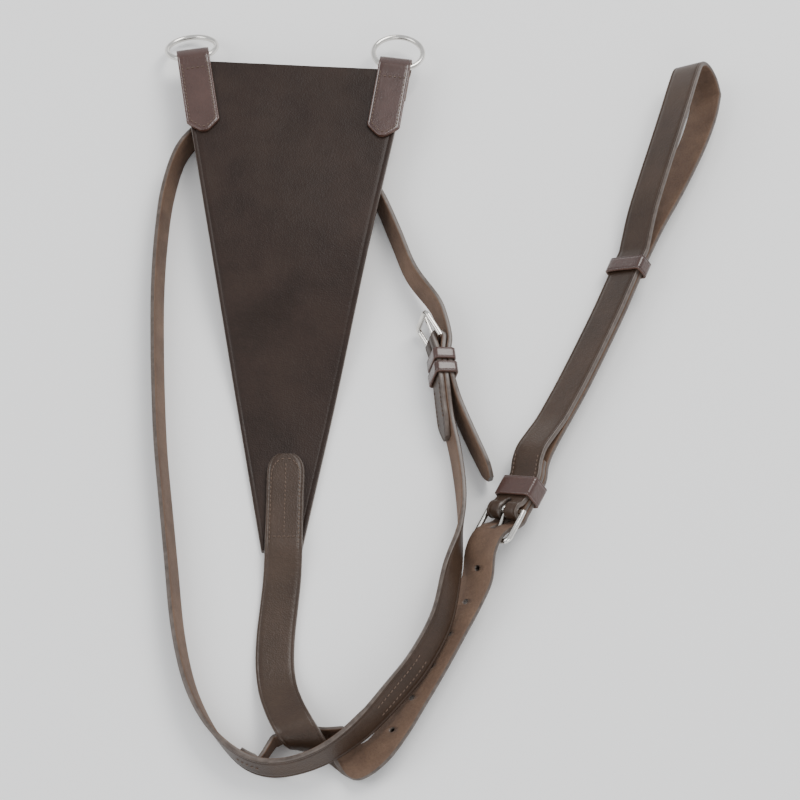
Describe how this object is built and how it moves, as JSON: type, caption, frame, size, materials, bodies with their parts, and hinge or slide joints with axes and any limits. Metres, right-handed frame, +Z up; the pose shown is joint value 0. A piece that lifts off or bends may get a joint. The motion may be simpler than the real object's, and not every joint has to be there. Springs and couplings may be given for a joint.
{
  "type": "bib martingale",
  "caption": "Leather bib martingale: triangular bib with two rein rings, buckled neck strap through a tunnel strap, and a body strap with an adjustable girth loop",
  "frame": {"origin": "centre of the bounding box in plan, on the surface that it lies on", "axes": "+Y from the tunnel at the front of the neck strap to the rein rings, +Z up, +X towards the girth loop's side"},
  "size_m": [0.416, 0.5951, 0.0426],
  "materials": {
    "bib_leather": "smooth dark brown bridle leather",
    "strap_leather": "dark brown grain, lighter flesh side",
    "tab_leather": "glossy reddish dark brown",
    "keeper_leather": "glossy reddish dark brown",
    "nickel": "polished nickel plate",
    "thread": "waxed brown thread"
  },
  "bodies": {
    "leatherwork": {"bib_panel": "bib_leather", "ring_tab_left": "tab_leather", "ring_tab_right": "tab_leather", "ring_tab_left_stitching": "thread", "ring_tab_right_stitching": "thread", "body_strap_bib_end": "strap_leather", "body_strap_girth_run": "strap_leather", "body_strap_girth_loop": "strap_leather", "bib_strap_stitching": "thread", "girth_buckle_stitching": "thread", "neck_buckle_stitching": "thread", "neck_tunnel_stitching": "thread", "girth_buckle_frame": "nickel", "girth_buckle_tongue": "nickel", "girth_fixed_keeper": "keeper_leather", "neck_strap_buckle_end": "strap_leather", "neck_strap_side": "strap_leather", "neck_strap_billet_end": "strap_leather", "neck_fixed_keeper": "keeper_leather", "neck_tunnel_strap": "strap_leather"},
    "left_ring": {"ring_left": "nickel"},
    "right_ring": {"ring_right": "nickel"},
    "neck_buckle": {"neck_buckle_frame": "nickel"},
    "neck_pin": {"neck_buckle_tongue": "nickel"},
    "neck_slider": {"neck_running_keeper": "keeper_leather"},
    "girth_slider": {"girth_running_keeper": "keeper_leather"}
  },
  "joints": [
    {"name": "left_ring_swing", "type": "hinge", "parent": "leatherwork", "child": "left_ring", "pos_m": [-0.18471, 0.26575, 0.01944], "axis": [0.9864, 0.1641, 0], "range_deg": [-5, 23]},
    {"name": "right_ring_swing", "type": "hinge", "parent": "leatherwork", "child": "right_ring", "pos_m": [-0.0334, 0.25718, 0.01944], "axis": [0.9899, -0.142, 0], "range_deg": [-19, 9]},
    {"name": "neck_buckle_turn", "type": "hinge", "parent": "leatherwork", "child": "neck_buckle", "pos_m": [-0.005, 0.017, 0.0152], "axis": [0.2069, 0.0208, 0.9781], "range_deg": [-5, 25]},
    {"name": "neck_tongue_turn", "type": "hinge", "parent": "neck_buckle", "child": "neck_pin", "pos_m": [-0.005, 0.017, 0.0152], "axis": [0.2069, 0.0208, 0.9781], "range_deg": [-12, 0]},
    {"name": "neck_keeper_slide", "type": "slide", "parent": "leatherwork", "child": "neck_slider", "axis": [0.1, -0.995, 0], "range_m": [-0.002, 0.003]},
    {"name": "girth_keeper_slide", "type": "slide", "parent": "leatherwork", "child": "girth_slider", "axis": [0.3877, 0.9218, -0.0026], "range_m": [-0.02, 0.01]}
  ]
}
